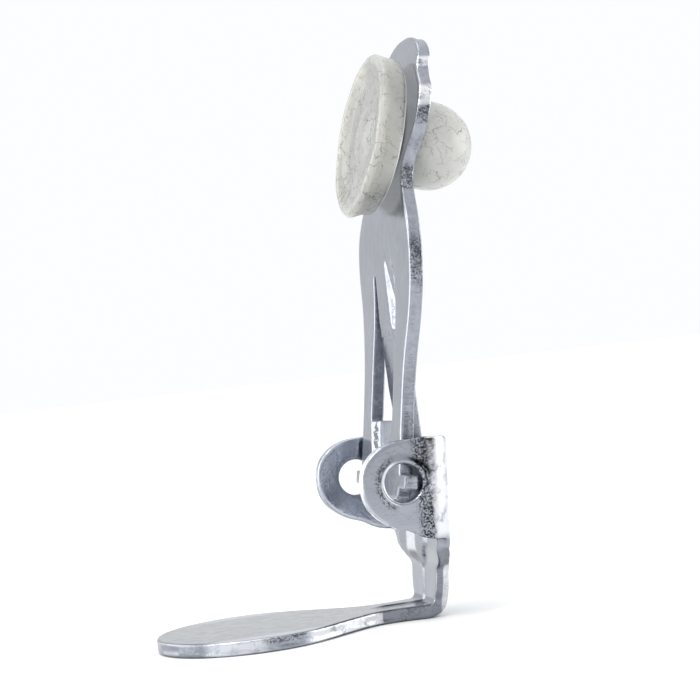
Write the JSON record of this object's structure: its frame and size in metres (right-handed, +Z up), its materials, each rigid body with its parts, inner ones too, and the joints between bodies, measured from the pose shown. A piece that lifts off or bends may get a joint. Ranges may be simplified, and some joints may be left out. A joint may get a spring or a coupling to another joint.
{
  "type": "floor door holder",
  "caption": "Floor door holder: stamped L base with round foot, hinged lever with strut tongue, and a pale rubber buffer buttoned through the lever head.",
  "frame": {"origin": "on the floor plane under the foot's stem, straight below the hinge axis, in the middle of the width", "axes": "+Z up, the round foot points along -X, +Y along the hinge axis"},
  "size_m": [0.0691, 0.0346, 0.1069],
  "materials": {
    "zinc_base": "bright zinc plate over rough stamped steel",
    "zinc_lever": "bright zinc plate over rough stamped steel",
    "rubber": "milky, slightly translucent, satin"
  },
  "bodies": {
    "base": {"base_bracket": "zinc_base"},
    "lever": {"lever_arm": "zinc_lever", "rubber_buffer": "rubber"}
  },
  "joints": [
    {"name": "lever_hinge", "type": "hinge", "parent": "base", "child": "lever", "pos_m": [0, 0, 0.0259], "axis": [0, -1, 0], "range_deg": [0, 112]}
  ]
}
